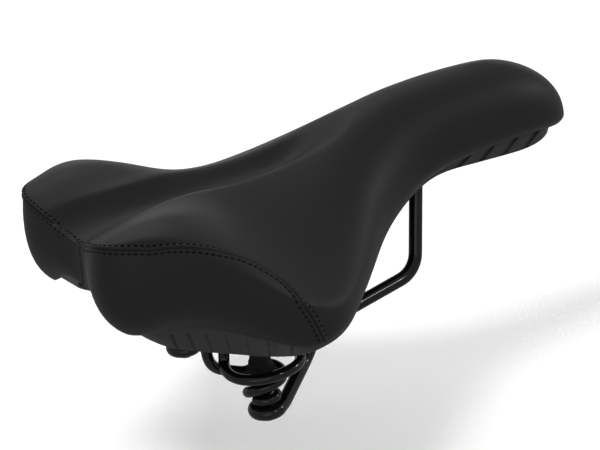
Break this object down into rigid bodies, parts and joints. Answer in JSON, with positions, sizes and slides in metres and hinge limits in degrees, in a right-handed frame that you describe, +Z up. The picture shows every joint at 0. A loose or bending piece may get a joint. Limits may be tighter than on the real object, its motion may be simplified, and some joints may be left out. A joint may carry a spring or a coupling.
{
  "type": "sprung bicycle saddle",
  "caption": "Padded comfort bicycle saddle with a central channel, a moulded pan, a bent wire rail and coil springs under the wings.",
  "frame": {"origin": "midway between the rail's two clamp sections, at the middle of their length", "axes": "+X to the nose, +Y to the rider's left, +Z up with the springs upright; the clamp sections rise 9 degrees towards the nose"},
  "size_m": [0.2903, 0.192, 0.1248],
  "materials": {
    "cover": "matte moulded synthetic leather with fine grain",
    "foam": "moulded foam",
    "pan_plastic": "satin moulded polypropylene",
    "wire_black": "gloss black powder coat",
    "rubber": "matte moulded rubber",
    "steel_zinc": "zinc-plated steel"
  },
  "bodies": {
    "undercarriage": {"rail_wire": "wire_black", "spring_left": "wire_black", "spring_right": "wire_black", "foot_rivet_left": "steel_zinc", "foot_rivet_right": "steel_zinc", "foot_washer_left": "steel_zinc", "foot_washer_right": "steel_zinc"},
    "seat": {"cover_top": "cover", "cover_rear_left": "cover", "cover_rear_right": "cover", "foam_pad": "foam", "base_pan": "pan_plastic", "bow_block": "pan_plastic", "rail_clip": "steel_zinc", "clip_screw_rear": "steel_zinc", "clip_screw_front": "steel_zinc", "spring_carrier_left": "pan_plastic", "spring_carrier_right": "pan_plastic", "bump_stop_left": "rubber", "bump_stop_right": "rubber", "bump_bolt_left": "steel_zinc", "bump_bolt_right": "steel_zinc"}
  },
  "joints": [
    {"name": "seat_pivot", "type": "hinge", "parent": "undercarriage", "child": "seat", "pos_m": [0.096, 0, 0.066], "axis": [0, -1, 0], "range_deg": [0, 2.5], "stiffness_Nm_per_rad": 1900, "deforming": ["spring_left", "spring_right"]}
  ]
}
